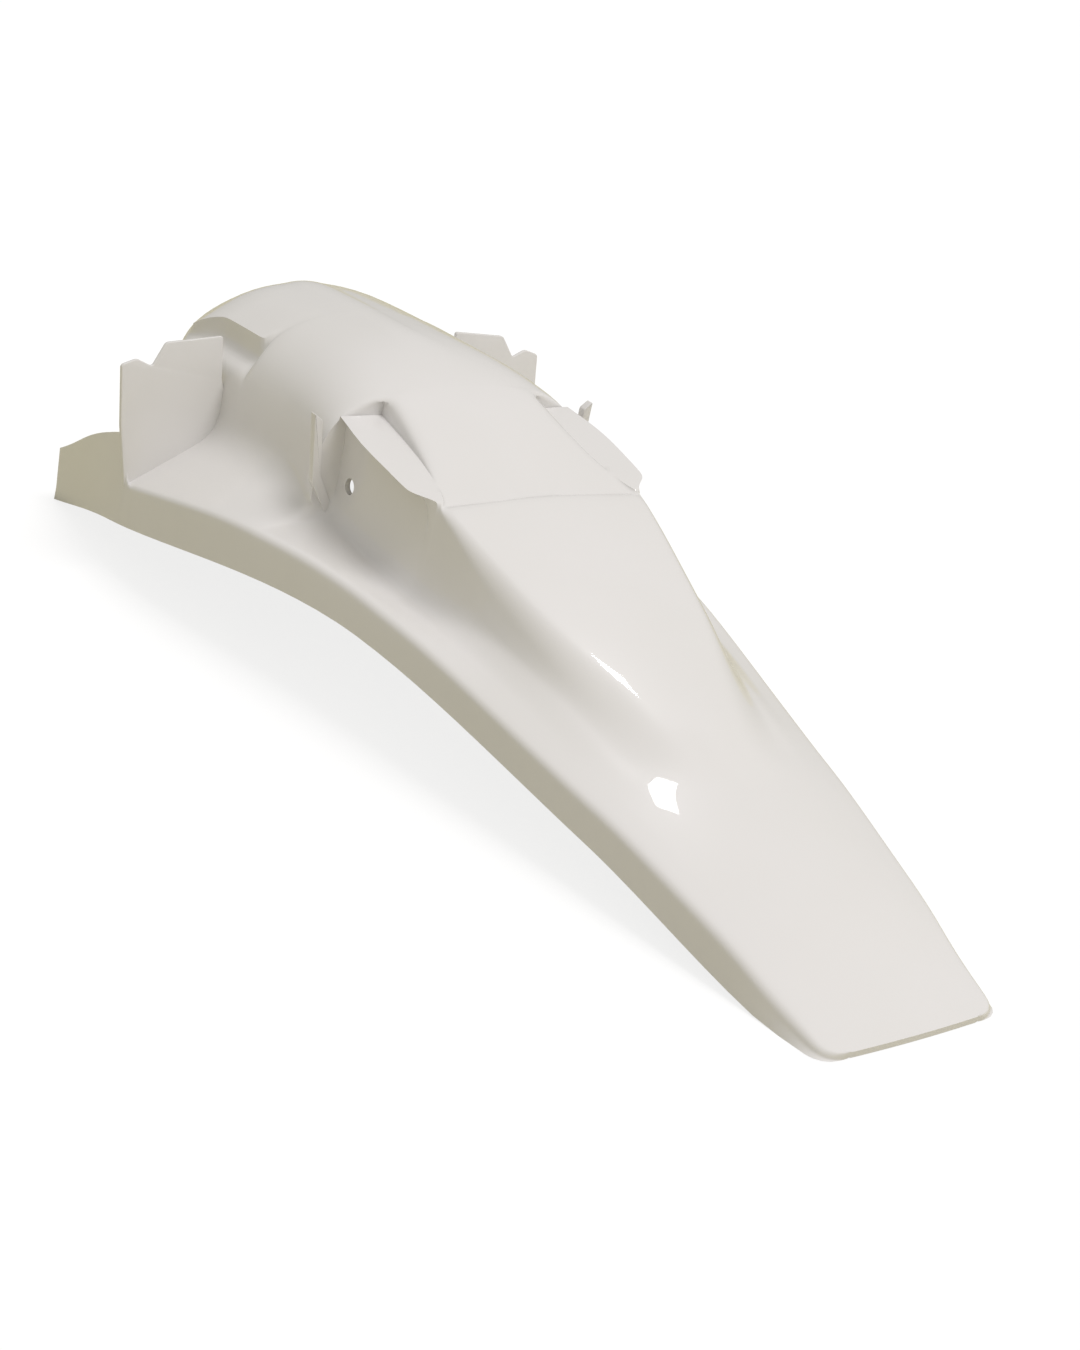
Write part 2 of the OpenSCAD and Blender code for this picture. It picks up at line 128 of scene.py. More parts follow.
# Stations from the tail end
Y_PANEL = TAIL_RUN
Y_STEP = Y_PANEL + PANEL_RUN
Y_LEDGE = Y_STEP + LEDGE_RUN
Y_WALL = Y_LEDGE + HUMP_RUN
Y_NOSE = Y_WALL + NOSE_RUN
LENGTH = Y_NOSE + LIP_RUN
Y_ARCH = Y_STEP + 0.3 * LEDGE_RUN
Y_ROLL = Y_NOSE - ROLL_RUN


# ---------------------------------------------------------------- sizes

def length_prop(name, text, default):
    return FloatProperty(name=name, description=text, default=default, unit="LENGTH", subtype="DISTANCE",
                         precision=4)


class FenderSizes(bpy.types.PropertyGroup):
    tail_width: length_prop("Tail width", "Width at the tail end", 0.100)
    waist_width: length_prop("Waist width", "Width at the rear end of the raised panel", 0.142)
    seat_width: length_prop("Seat width", "Width at the seat step", 0.194)
    wall_width: length_prop("Wall width", "Width at the cross walls", 0.268)
    front_width: length_prop("Front width", "Width at the front edge", 0.254)
    hump_width: length_prop("Hump width", "Width of the wheel hump", 0.150)
    panel_width: length_prop("Panel width", "Width of the panel at the seat step", 0.120)
    ledge_width: length_prop("Ledge width", "Width of each side ledge at its front", 0.025)
    ledge_out: length_prop("Ledge overhang", "Overhang of each side ledge over the wall below it", 0.010)
    arch_rise: length_prop("Arch rise", "Lower edge at the top of its arch", 0.051)
    tail_rise: length_prop("Tail rise", "Lower edge at the rear end of the panel", 0.024)
    wall_rise: length_prop("Wall rise", "Lower edge at the cross walls", 0.027)
    skirt_tail: length_prop("Tail skirt", "Side skirt beside the tail", 0.016)
    skirt_hump: length_prop("Hump skirt", "Side skirt beside the hump", 0.025)
    skirt_front: length_prop("Front skirt", "Side skirt at the front edge", 0.019)
    tail_crown: length_prop("Tail crown", "Crown of the tail between its skirts", 0.012)
    panel_low: length_prop("Panel low", "Panel top at its rear end", 0.058)
    panel_high: length_prop("Panel high", "Panel top at the seat step", 0.118)
    ledge_high: length_prop("Ledge height", "Side ledges at their front", 0.131)
    hump_high: length_prop("Hump height", "Crest of the wheel hump", 0.155)
    seat_step: length_prop("Seat step", "Drop from the panel to the seat pan", 0.002)
    wall: length_prop("Wall", "Thickness of the moulding", 0.0028)
    cross_high: length_prop("Cross wall height", "Height of the cross walls above the floor", 0.054)
    notch_deep: length_prop("Notch depth", "Depth of the notch in each cross wall", 0.013)
    wing_high: length_prop("Wing height", "Height of the wings at the cross walls", 0.030)
    bolt_d: length_prop("Fixing hole", "Diameter of the side fixing holes", 0.0084)
    bolt_z: length_prop("Fixing height", "Height of the side fixing holes", 0.097)
    bolt_back: length_prop("Fixing setback", "Distance of the holes behind the ledge fronts", 0.012)
    flare: length_prop("Flare", "Flare of the hump wall in front of the fixings", 0.005)
    cross_lean: FloatProperty(name="Cross wall lean", description="Forward lean of the cross walls",
                              default=math.radians(7), subtype="ANGLE")


class FenderColours(bpy.types.PropertyGroup):
    plastic: FloatVectorProperty(name="Plastic", description="White of the moulded plastic",
                                 default=(0.80, 0.785, 0.78), subtype="COLOR", min=0, max=1)
    plastic_shade: FloatVectorProperty(name="Plastic shade", description="Denser tone of the plastic",
                                       default=(0.70, 0.69, 0.64), subtype="COLOR", min=0, max=1)
    floor: FloatVectorProperty(name="Floor", description="Pale studio floor",
                               default=(0.95, 0.95, 0.95), subtype="COLOR", min=0, max=1)
    bounce: FloatVectorProperty(name="Floor bounce", description="Light that the floor throws back",
                                default=(0.52, 0.49, 0.34), subtype="COLOR", min=0, max=1)
    ambient: FloatVectorProperty(name="Ambient", description="Light from all round",
                                 default=(0.50, 0.49, 0.46), subtype="COLOR", min=0, max=1)


class StudioSizes(bpy.types.PropertyGroup):
    lens: FloatProperty(name="Lens", description="Focal length, millimetres", default=53.33)
    azimuth: FloatProperty(name="Azimuth", description="Heading of the view from +Y towards +X",
                           default=math.radians(36.56), subtype="ANGLE")
    elevation: FloatProperty(name="Elevation", description="Downward tilt of the view",
                             default=math.radians(24.04), subtype="ANGLE")
    roll: FloatProperty(name="Roll", description="Roll of the camera about its view",
                        default=math.radians(9.45), subtype="ANGLE")
    place: FloatVectorProperty(name="Camera place", description="Where the camera stands",
                               default=(-0.553, -0.772, 0.442), subtype="TRANSLATION")


# ---------------------------------------------------------------- curves

def mix(a, b, t):
    return a + (b - a) * t


def clamp(v, low, high):
    return max(low, min(high, v))


def ease(t):
    s = clamp(t, 0, 1)
    return s * s * (3 - 2 * s)


def curve(points, y):
    """Cubic curve through points (station, value), flat at its turning points."""
    def rise(i):
        return (points[i + 1][1] - points[i][1]) / (points[i + 1][0] - points[i][0])

    def slope(i):
        if i == 0:
            return rise(0)
        if i == len(points) - 1:
            return rise(i - 1)
        if rise(i - 1) * rise(i) <= 0:
            return 0
        return (points[i + 1][1] - points[i - 1][1]) / (points[i + 1][0] - points[i - 1][0])

    i = max(k for k in range(len(points) - 1) if k == 0 or points[k][0] <= y)
    w = points[i + 1][0] - points[i][0]
    t = (y - points[i][0]) / w
    return (points[i][1] * (1 + 2 * t) * (1 - t) ** 2 + slope(i) * w * t * (1 - t) ** 2
            + points[i + 1][1] * t * t * (3 - 2 * t) + slope(i + 1) * w * t * t * (t - 1))


def guide(start, run, line, scale=1):
    """A guide's points: stations along a run from its start, with values times the scale."""
    return [(start + t * run, v * scale) for t, v in line]


def sind(a):
    return math.sin(math.radians(a))


def cosd(a):
    return math.cos(math.radians(a))


def acosd(v):
    return math.degrees(math.acos(clamp(v, -1, 1)))


class Form:
    """The moulding's section at any station, in millimetres from the tail end."""

    def __init__(self, sizes):
        for name in FenderSizes.__annotations__:
            setattr(self, name, getattr(sizes, name) / MM)
        self.cross_lean = sizes.cross_lean    # an angle, so it has no millimetres
        self.y_cross = Y_WALL - (self.cross_high + FLOOR_RISE) * math.tan(self.cross_lean)
        self.y_jump = self.y_cross - ROW_BEFORE_WING * self.wall
        self.y_pocket = self.y_jump - POCKET_RUN
        self.y_bolt = Y_LEDGE - self.bolt_back

    # Plan outline, skirts and the tail's crown
    def half_width(self, y):
        cut = TAIL_CORNER - math.sqrt(TAIL_CORNER ** 2 - (TAIL_CORNER - y) ** 2) if y < TAIL_CORNER else 0
        widths = [(0, self.tail_width), (Y_PANEL, self.waist_width), (Y_STEP, self.seat_width),
                  (Y_WALL, self.wall_width), (LENGTH, self.front_width)]
        return curve([(station, width / 2) for station, width in widths], y) - cut

    def edge_z(self, y):
        return curve([(0, 0), (0.28 * TAIL_RUN, 1), (Y_PANEL, self.tail_rise), (Y_ARCH, self.arch_rise),
                      (Y_WALL, self.wall_rise), (LENGTH, 0)], y)

    def skirt(self, y):
        return curve([(0, self.wall + END_LIP)] + guide(0, TAIL_RUN, TAIL_SKIRT, self.skirt_tail)
                     + [(Y_PANEL + 0.3 * PANEL_RUN, self.skirt_tail),
                        (Y_LEDGE + 0.3 * HUMP_RUN, self.skirt_hump), (LENGTH, self.skirt_front)], y)

    def skirt_x(self, y):
        return self.half_width(y) - SKIRT_DRAFT

    def rim_z(self, y):
        return self.edge_z(y) + self.skirt(y)

    def crown(self, y):
        return curve(guide(0, TAIL_RUN, TAIL_CROWN, self.tail_crown), min(y, Y_PANEL))

    def tail_z(self, x, y):
        return self.rim_z(y) + self.crown(y) * (1 - min(1, abs(x) / self.skirt_x(y)) ** CROWN_POWER)

    def tail_slope(self, y):
        return math.degrees(math.atan(CROWN_POWER * self.crown(y) / self.skirt_x(y)))

    # Foot and top of the side walls
    def nose_part(self, y):
        return clamp((y - Y_ROLL) / ROLL_RUN, 0, 1)

    def nose_high(self, y):
        """Height of the nose as it rolls down, as a share of the hump's."""
        return max(0, 1 - self.nose_part(y) ** NOSE_POWER) ** (1 / NOSE_POWER)

    def pull(self, y):
        """Share of its width that the hump keeps round the nose."""
        return 1 - NOSE_PULL * self.nose_part(y) ** 4

    def dome(self, y):
        """How far the hump has turned from its rear section to its full dome."""
        return ease((y - Y_LEDGE) / (SHARE_OF_DOME * HUMP_RUN))

    def bulge(self, y):
        """Flare of the hump's wall just in front of the ledges."""
        return self.flare * math.exp(-(y - Y_LEDGE) / FLARE_RUN) if y > Y_LEDGE else 0

    def foot_x(self, y):
        if y > Y_LEDGE:
            return (self.hump_width / 2 + SKIRT_DRAFT) * self.pull(y) + self.bulge(y)
        return curve([(0, 0.2 * self.panel_width)] + guide(Y_PANEL, PANEL_RUN, PANEL_FOOT, self.panel_width)
                     + [(Y_STEP, self.panel_width / 2 + FOOT_OUT),
                        (Y_LEDGE, self.hump_width / 2 - LEDGE_INSET)], y)

    def foot_z(self, y):
        side = guide(Y_PANEL, PANEL_RUN, PANEL_FOOT_RISE)
        gutter = [(Y_STEP, -GUTTER_DEEP), (Y_STEP + 0.5 * LEDGE_RUN, -0.7 * GUTTER_DEEP),
                  (Y_LEDGE, GUTTER_END)]
        floor = [(Y_LEDGE + 0.33 * HUMP_RUN, 0.75 * FLOOR_RISE), (Y_WALL, FLOOR_RISE),
                 (LENGTH, FLOOR_RISE + FRONT_RISE)]
        return self.rim_z(y) + curve(side + gutter + floor, max(y, Y_PANEL))

    def foot_slope(self, y):
        return math.degrees(math.atan((self.foot_z(y) - self.rim_z(y)) / (self.skirt_x(y) - self.foot_x(y))))

    def floor_slope(self, y):
        return mix(self.tail_slope(y), self.foot_slope(y), self.panel_share(self.foot_x(y), y))

    def top_x(self, y):
        lean = SKIRT_DRAFT if y > Y_LEDGE else curve(
            guide(Y_PANEL, PANEL_RUN, PANEL_LEAN) + [(Y_LEDGE, 1)], max(y, Y_PANEL))
        return self.foot_x(y) - lean

    # Ridge line, ledges and rounded shoulders
    def crest(self, y):
        if y <= Y_STEP:
            t = max(-0.3, (y - Y_PANEL) / PANEL_RUN)
            return mix(self.panel_low, self.panel_high, t) + PANEL_BOW * t * (1 - t)
        return curve([(Y_STEP, self.panel_high - self.seat_step),
                      (Y_LEDGE, self.ledge_high + HUMP_OVER_LEDGE),
                      (Y_LEDGE + 0.6 * HUMP_RUN, self.hump_high), (Y_ROLL, self.hump_high - ROLL_FALL),
                      (Y_NOSE, self.hump_high - NOSE_FALL)], y)

    def pan_part(self, y):
        return (y - Y_STEP) / LEDGE_RUN

    def on_pan(self, y):
        return Y_STEP < y <= Y_LEDGE

    def ledge_z(self, y):
        t = self.pan_part(y)
        return mix(self.panel_high - self.seat_step, self.ledge_high, t) + LEDGE_BOW * t * (1 - t)

    def ledge_in(self, y):
        return mix(LEDGE_START, self.ledge_width - 0.4 * self.ledge_out, self.pan_part(y) ** 0.6)

    def ledge_over(self, y):
        return max(0, curve(guide(Y_STEP, LEDGE_RUN, LEDGE_OVERHANG, self.ledge_out), y))

    def shelf_x(self, y):
        inner = self.hump_width / 2
        if y > Y_LEDGE:
            return max(HUMP_FLAT, inner - mix(HUMP_SHOULDER, DOME_SHOULDER, self.dome(y))) * self.pull(y)
        if self.on_pan(y):
            return mix(0.5, 1, self.pan_part(y)) * (inner - HUMP_SHOULDER)
        line = [(0, 0.06 * self.panel_width)] + guide(Y_PANEL, PANEL_RUN, PANEL_SHELF, self.panel_width)
        return min(self.top_x(y) - SHOULDER_R, curve(line, y))

    def round_high(self, y):
        if y > Y_LEDGE:
            return mix(HUMP_ROUND, DOME_ROUND, self.dome(y))
        if self.on_pan(y):
            return mix(1.5, HUMP_ROUND, self.pan_part(y) ** 2)
        return min(curve(guide(Y_PANEL, PANEL_RUN, PANEL_ROUND), max(y, Y_PANEL)),
                   self.crest(y) - RIDGE_FALL - self.foot_z(y) - FOOT_R)

    def low_z(self, y):
        return self.crest(y) - RIDGE_FALL - self.round_high(y)

    def top_z(self, y):
        return self.ledge_z(y) if self.on_pan(y) else self.low_z(y)

    def in_pocket(self, y):
        return y > self.y_pocket and self.nose_part(y) < POCKET_END

    def pocket_share(self, y):
        return mix(1, 0.2, min(1, self.nose_part(y) / POCKET_END))

    # Parts of the half section, outside to centre, as (x, z)
    def skirt_pts(self, y, depth):
        w, e, s = self.half_width(y) - depth, self.edge_z(y), self.skirt(y)
        turn = 90 - self.floor_slope(y)
        r = max(self.wall + RIM_R_OVER_WALL, min(RIM_R, 0.7 * s))
        z = e + s - min(r * math.tan(math.radians(turn / 2)), s - RIM_FLAT)
        return ([(w, e), (w - SKIRT_DRAFT / 2, mix(e, z, 0.5))]
                + [(w - SKIRT_DRAFT - (r - depth) * (1 - cosd(t)), z + (r - depth) * sind(t))
                   for t in (k * turn / 3 for k in range(4))])

    def wing(self, y):
        if y < self.y_cross - WING_START * self.wall:
            return 0
        return curve([(self.y_cross - self.wall, self.wing_high)]
                     + guide(Y_WALL, NOSE_RUN, WING_LINE, self.wing_high)
                     + [(LENGTH, WING_END * self.wing_high)], y)

    def wing_pts(self, y):
        x, z, g, t = self.skirt_x(y), self.rim_z(y), math.tan(math.radians(self.floor_slope(y))), self.wall
        return [(x, z + self.wing(y)), (x - t, z + self.wing(y)),
                (x - t - WING_STEP, z + g * (t + WING_STEP)), (x - 2 * t, z + g * 2 * t)]

    def floor_pts(self, y):
        a = self.skirt_pts(y, 0)[5]
        b = (self.foot_x(y) + FOOT_R, self.foot_z(y) - FOOT_R * math.tan(math.radians(self.foot_slope(y))))
        return [(mix(a[0], b[0], t), mix(a[1], b[1], t)) for t in (1 / 3, 2 / 3, 1)]

    def wall_pts(self, y, winged):
        c = POCKET_LOW if self.in_pocket(y) else 0
        a = (self.foot_x(y), self.foot_z(y) + 0.6 * FOOT_R * (1 - self.soft(y)))
        b = (self.top_x(y) - (self.top_x(y) - self.shelf_x(y)) * (1 - cosd(c)),
             self.top_z(y) + self.round_high(y) * sind(c))
        if winged and self.on_pan(y) and self.ledge_over(y) > 0:
            return [a, (b[0], b[1] - self.wall), (b[0] + self.ledge_over(y), b[1])]
        return [a, (mix(a[0], b[0], 0.5), mix(a[1], b[1], 0.5)), b]

    def shoulder_pts(self, y):
        s, b = self.shelf_x(y), self.round_high(y)
        a = self.top_x(y) - self.bulge(y) - s
        if self.on_pan(y):
            q = acosd(min(1, (self.top_x(y) - self.ledge_in(y) - s) / HUMP_SHOULDER))
            return ([(s + HUMP_SHOULDER * cosd(q) + 1, self.ledge_z(y))]
                    + [(s + HUMP_SHOULDER * cosd(t), self.low_z(y) + b * sind(t))
                       for t in (q, (q + 90) / 2, 90)])
        if self.in_pocket(y):
            q, share = acosd(cosd(POCKET_LOW) - self.pocket_share(y) * POCKET_DEEP / a), self.pocket_share(y)
            return ([(s + a * cosd(q), self.low_z(y) + b * sind(POCKET_LOW) + share * POCKET_LIP)]
                    + [(s + a * cosd(t), self.low_z(y) + b * sind(t)) for t in (q, *SHOULDER_TURNS[2:])])
        return [(s + a * cosd(t) + self.bulge(y) * cosd(t) ** 2, self.low_z(y) + b * sind(t))
                for t in SHOULDER_TURNS]

    def soft(self, y):
        """How far the panel's side has softened from its wall and shoulder to one S-shaped sweep."""
        return 0 if y > Y_STEP else ease(1 - (y - Y_PANEL) / PANEL_RUN)

    def side_pts(self, y, winged):
        h, soft = self.wall_pts(y, winged) + self.shoulder_pts(y), self.soft(y)
        n = len(h) - 1
        return [(mix(x, mix(h[0][0], h[n][0], k / n), soft), mix(z, mix(h[0][1], h[n][1], ease(k / n)), soft))
                for k, (x, z) in enumerate(h)]

    def top_pts(self, y):
        return [(self.shelf_x(y) * t, self.crest(y) - RIDGE_FALL * t * t) for t in (2 / 3, 1 / 3, 0)]

    def panel_share(self, x, y):
        """How far the tail's crown has given way to the raised panel, which starts in a bowed brow."""
        if y > Y_STEP:
            return 1
        return ease((y - Y_PANEL + PANEL_START - min(BROW_MOST, BROW_BOW * (x / BROW_X) ** 2)) / PANEL_FADE)

    def settle(self, p, y):
        """Lets a point down to the tail's crown behind the panel, and to the floor round the nose."""
        if y > Y_ROLL:
            low = self.foot_z(y) + NOSE_BOW * (1 - min(1, p[0] / self.foot_x(y)) ** 2)
            return p[0], mix(low, p[1], self.nose_high(y))
        return p[0], mix(self.tail_z(p[0], y), p[1], self.panel_share(p[0], y))

    def half_section(self, y, winged):
        s = self.skirt_pts(y, 0)
        if winged and self.wing(y) > 0:
            s = s[:2] + self.wing_pts(y)
        return (s + [self.settle(p, min(y, Y_ROLL)) for p in self.floor_pts(y)]
                + [self.settle(p, y) for p in self.side_pts(y, winged) + self.top_pts(y)])

    def row(self, y, winged):
        """Points from the left skirt to the right skirt."""
        half = [self.point(p, k, y) for k, p in enumerate(self.half_section(y, winged))]
        return half + [Vector((-p.x, p.y, p.z)) for p in reversed(half[:-1])]

    def point(self, p, k, y):
        """A section's point on the left: wings lean, the tail end's corners sweep forwards."""
        fade = math.tan(self.cross_lean) * max(0, 1 - (y - self.y_jump) / (LEAN_FADE * self.wall))
        lean = max(0, p[1] - self.rim_z(y)) * fade if k in WING_COLUMNS else 0
        bow = TAIL_BOW * (p[0] / self.half_width(y)) ** 2 * max(0, 1 - y / (BOW_RUN * TAIL_RUN)) ** 2
        return Vector((-p[0], y + lean + bow, p[1]))

    def places(self):
        """Stations of the rows, closer where the form turns or steps."""
        def run(a, b, n, p=1):
            return [mix(a, b, (k / n) ** p) for k in range(1, n + 1)]
        g = GAP / 2
        return ([TAIL_CORNER * (1 - cosd(22.5 * k)) for k in range(5)]
                + run(TAIL_CORNER, Y_PANEL - BROW_BACK, 8)
                + run(Y_PANEL - BROW_BACK, Y_PANEL + BROW_AHEAD, 9)
                + run(Y_PANEL + BROW_AHEAD, Y_STEP - g, 9) + [Y_STEP + g]
                + [Y_STEP + t * LEDGE_RUN for t in (0.04, 0.09, 0.14, 0.2)]
                + run(Y_STEP + 0.2 * LEDGE_RUN, Y_LEDGE - g, 5) + [Y_LEDGE + g]
                + run(Y_LEDGE + g, self.y_pocket - g, 7, 1.3)
                + [self.y_pocket + g, self.y_jump, self.y_jump + GAP]
                + run(self.y_jump + GAP, Y_ROLL, 4)
                + [Y_ROLL + ROLL_RUN * (1 - (1 - k / 10) ** 2) for k in range(1, 11)]
                + run(Y_NOSE, LENGTH, 3))


def lower_rows(form, places, rows):
    """The inner face: each row moved through the wall along the surface's normal."""
    def normal(i, j):
        if i == 0:
            return Vector((0, 0, 1))
        du = (rows[i][j + 1] - rows[i][j]).normalized() + (rows[i][j] - rows[i][j - 1]).normalized()
        if i == len(rows) - 1:
            dv = rows[i][j] - rows[i - 1][j]
        else:
            dv = (rows[i + 1][j] - rows[i][j]).normalized() + (rows[i][j] - rows[i - 1][j]).normalized()
        return du.cross(dv).normalized()

    lower = []
    for i, y in enumerate(places):
        n, s = len(rows[i]), [form.point(p, 0, y) for p in form.skirt_pts(y, form.wall)]
        middle = [rows[i][j] - form.wall * normal(i, j) for j in range(SKIRT_COLUMNS, n - SKIRT_COLUMNS)]
        lower.append(s + middle + [Vector((-v.x, v.y, v.z)) for v in reversed(s)])
    return lower


# ---------------------------------------------------------------- shading

class Value:
    """A number socket whose arithmetic adds Math nodes."""

    def __init__(self, tree, socket):
        self.tree, self.socket = tree, socket

    def _math(self, operation, *others):
        return self.tree.node("ShaderNodeMath", {"operation": operation}, [self, *others]).out()

    def __add__(self, other):
        return self._math("ADD", other)

    def __mul__(self, other):
        return self._math("MULTIPLY", other)

    __radd__, __rmul__ = __add__, __mul__


class Made:
    """A node that was made, with its outputs by name or number."""

    def __init__(self, tree, node):
        self.tree, self.node = tree, node

    def out(self, key=0):
        return Value(self.tree, self.node.outputs[key])


class Tree:
    """A material's or the world's nodes."""

    def __init__(self, owner):
        owner.use_nodes = True
        self.tree = owner.node_tree
        self.tree.nodes.clear()

    def node(self, kind, settings=None, inputs=None):
        made = self.tree.nodes.new(kind)
        for key, value in (settings or {}).items():
            setattr(made, key, value)
        pairs = enumerate(inputs) if isinstance(inputs, list) else (inputs or {}).items()
        for key, value in pairs:
            if isinstance(value, Value):
                self.tree.links.new(value.socket, made.inputs[key])
            else:
                made.inputs[key].default_value = value
        return Made(self, made)


def noise(tree, place, scale, detail, roughness):
    return tree.node("ShaderNodeTexNoise", {"noise_dimensions": "3D"},
                     {"Vector": place, "Scale": scale, "Detail": detail, "Roughness": roughness}).out(0)


def moulded_plastic(name, colours):
    """Glossy white moulded plastic: faint density clouds, sink waves and a fine gloss haze."""
    material = bpy.data.materials.new(name)
    tree = Tree(material)
    place = tree.node("ShaderNodeTexCoord").out("Object")
    cloud, wave = noise(tree, place, *CLOUDS), noise(tree, place, *SINK_WAVES)
    grain, haze = noise(tree, place, *GRAIN), noise(tree, place, *GLOSS_HAZE)
    share = tree.node("ShaderNodeMapRange", {}, {
        "Value": cloud, "From Min": SHADE_FROM, "From Max": SHADE_TO, "To Min": 0.0,
        "To Max": SHADE_MOST}).out(0)
    colour = tree.node("ShaderNodeMix", {"data_type": "RGBA"},
                       {0: share, 6: (*colours.plastic, 1), 7: (*colours.plastic_shade, 1)}).out(2)
    relief = wave * WAVE_RELIEF + grain * GRAIN_RELIEF
    bump = tree.node("ShaderNodeBump", {}, {
        "Strength": RELIEF_STRENGTH, "Distance": RELIEF_DEEP, "Height": relief}).out(0)
    rough = ROUGH_LEAST + haze * ROUGH_HAZE
    shader = tree.node("ShaderNodeBsdfPrincipled", {}, {
        "Base Color": colour, "Roughness": rough, "Normal": bump, "IOR": PLASTIC_IOR,
        "Coat Weight": 1.0, "Coat Roughness": COAT_ROUGH})
    tree.node("ShaderNodeOutputMaterial", {}, {"Surface": shader.out(0)})
    return material


def floor_finish(colours):
    """A floor that the camera sees as white with a soft shadow, and that throws back less light."""
    material = bpy.data.materials.new("studio_floor")
    tree = Tree(material)
    seen = tree.node("ShaderNodeLightPath").out("Is Camera Ray")
    bounce = tree.node("ShaderNodeBsdfDiffuse", {}, {"Color": (*colours.bounce, 1)}).out(0)
    paint = tree.node("ShaderNodeBsdfDiffuse", {}, {"Color": (*colours.floor, 1)}).out(0)
    glow = tree.node("ShaderNodeEmission", {}, {"Color": (1, 1, 1, 1), "Strength": PAPER_WHITE}).out(0)
    white = tree.node("ShaderNodeMixShader", {}, [FLOOR_GLOW, paint, glow]).out(0)
    both = tree.node("ShaderNodeMixShader", {}, [seen, bounce, white]).out(0)
    tree.node("ShaderNodeOutputMaterial", {}, {"Surface": both})
    return material


# ---------------------------------------------------------------- meshes

def finish_piece(bm, name, material):
    """Makes the object, shaded smooth, riding on the fender's one body."""
    mesh = bpy.data.meshes.new(name)
    bm.to_mesh(mesh)
    bm.free()
    piece = bpy.data.objects.new(name, mesh)
    bpy.context.scene.collection.objects.link(piece)
    piece.data.materials.append(material)
    for face in mesh.polygons:
        face.use_smooth = True
    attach(piece, "root")
    return piece


def moulded_plate(outline, thickness, corner, rim):
    """An upright plate of the outline (x, z), its front on y = 0, with soft corners and rims."""
    bm = bmesh.new()
    made = bmesh.ops.create_circle(bm, cap_ends=True, segments=len(outline), radius=1.0)
    for vert, (x, z) in zip(made["verts"], outline):
        vert.co = (x, 0, z)
    top = bmesh.ops.extrude_face_region(bm, geom=bm.faces[:])
    bmesh.ops.translate(bm, verts=[v for v in top["geom"] if isinstance(v, bmesh.types.BMVert)],
                        vec=(0, -thickness, 0))
    bmesh.ops.recalc_face_normals(bm, faces=bm.faces[:])
    upright = [e for e in bm.edges
               if abs(e.verts[0].co.y - e.verts[1].co.y) > thickness / 2 and e.verts[0].co.z > thickness]
    bmesh.ops.bevel(bm, geom=upright, offset=corner, offset_type="OFFSET", affect="EDGES", segments=4,
                    profile=0.5, material=-1)
    rims = [e for e in bm.edges if abs(e.verts[0].co.y - e.verts[1].co.y) < 1e-4]
    bmesh.ops.bevel(bm, geom=rims, offset=rim, offset_type="OFFSET", affect="EDGES", segments=3,
                    profile=0.5, material=-1)
    return bm


def finish_pair(bm, name):
    """Adds the plate's twin on the other side and makes the piece."""
    bmesh.ops.scale(bm, verts=bm.verts[:], vec=(MM, MM, MM))
    twin = bmesh.ops.duplicate(bm, geom=bm.verts[:] + bm.edges[:] + bm.faces[:])["geom"]
    bmesh.ops.scale(bm, verts=[v for v in twin if isinstance(v, bmesh.types.BMVert)], vec=(-1, 1, 1))
    bmesh.ops.recalc_face_normals(bm, faces=bm.faces[:])
    piece = finish_piece(bm, name, plastic())
    piece.data.set_sharp_from_angle(angle=math.radians(PLATE_SHARP))
    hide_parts(NODE)


def plastic():
    return bpy.data.materials.get("moulded_white") or moulded_plastic(
        "moulded_white", bpy.context.scene.fender_colours)


def apply_modifiers(piece):
    graph = bpy.context.evaluated_depsgraph_get()
    mesh = bpy.data.meshes.new_from_object(piece.evaluated_get(graph))
    piece.modifiers.clear()
    piece.data = mesh
    mesh.set_sharp_from_angle(angle=math.radians(MOULDING_SHARP))


def placed(point):
    """From millimetres behind the tail end to the frame's metres."""
    return Vector((point[0], point[1] - LENGTH / 2, point[2])) * MM


def edge_crease(form, places, across, start, end):
    """Crease of an edge between two grid points (row, column, side), for rims, steps and ledges."""
    (i0, j0, z0), (i1, j1, z1) = start, end
    j, k, mid = min(j0, across - j0), min(j1, across - j1), (places[i0] + places[i1]) / 2
    lengthwise, crosswise, through = j0 == j1, i0 == i1, abs(z0 - z1) > 0.1
    rim = through or (lengthwise and j == 0)
    end_row = crosswise and i0 in (0, len(places) - 1)
    recess = lengthwise and j == RECESS_COLUMN and form.in_pocket(mid)
    if rim or end_row or recess:
        return RIM_CREASE
    ledge = lengthwise and j in LEDGE_COLUMNS and Y_STEP < mid < Y_LEDGE
    wing = lengthwise and j in WING_COLUMNS and mid > form.y_jump
    flare = crosswise and abs(places[i0] - Y_LEDGE) < GAP and min(j, k) in FLARE_COLUMNS
    return FORM_CREASE if ledge or wing or flare else 0.0


def cut_bores(context, piece, form):
    """Cuts the two fixing holes through the side walls."""
    bore, turn = bmesh.new(), Matrix.Rotation(math.radians(90), 4, "Y")
    for side in (-1, 1):
        at = Matrix.Translation(placed((side * form.top_x(form.y_bolt), form.y_bolt, form.bolt_z)))
        bmesh.ops.create_cone(bore, cap_ends=True, segments=BORE_SEGMENTS, radius1=form.bolt_d / 2 * MM,
                              radius2=form.bolt_d / 2 * MM, depth=BORE_WALLS * form.wall * MM,
                              matrix=at @ turn)
    mesh = bpy.data.meshes.new("bores")
    bore.to_mesh(mesh)
    bore.free()
    tool = bpy.data.objects.new("bores", mesh)
    context.scene.collection.objects.link(tool)
    cut = piece.modifiers.new("bores", "BOOLEAN")
    cut.operation, cut.solver, cut.object = "DIFFERENCE", "EXACT", tool
    apply_modifiers(piece)
    bpy.data.objects.remove(tool)


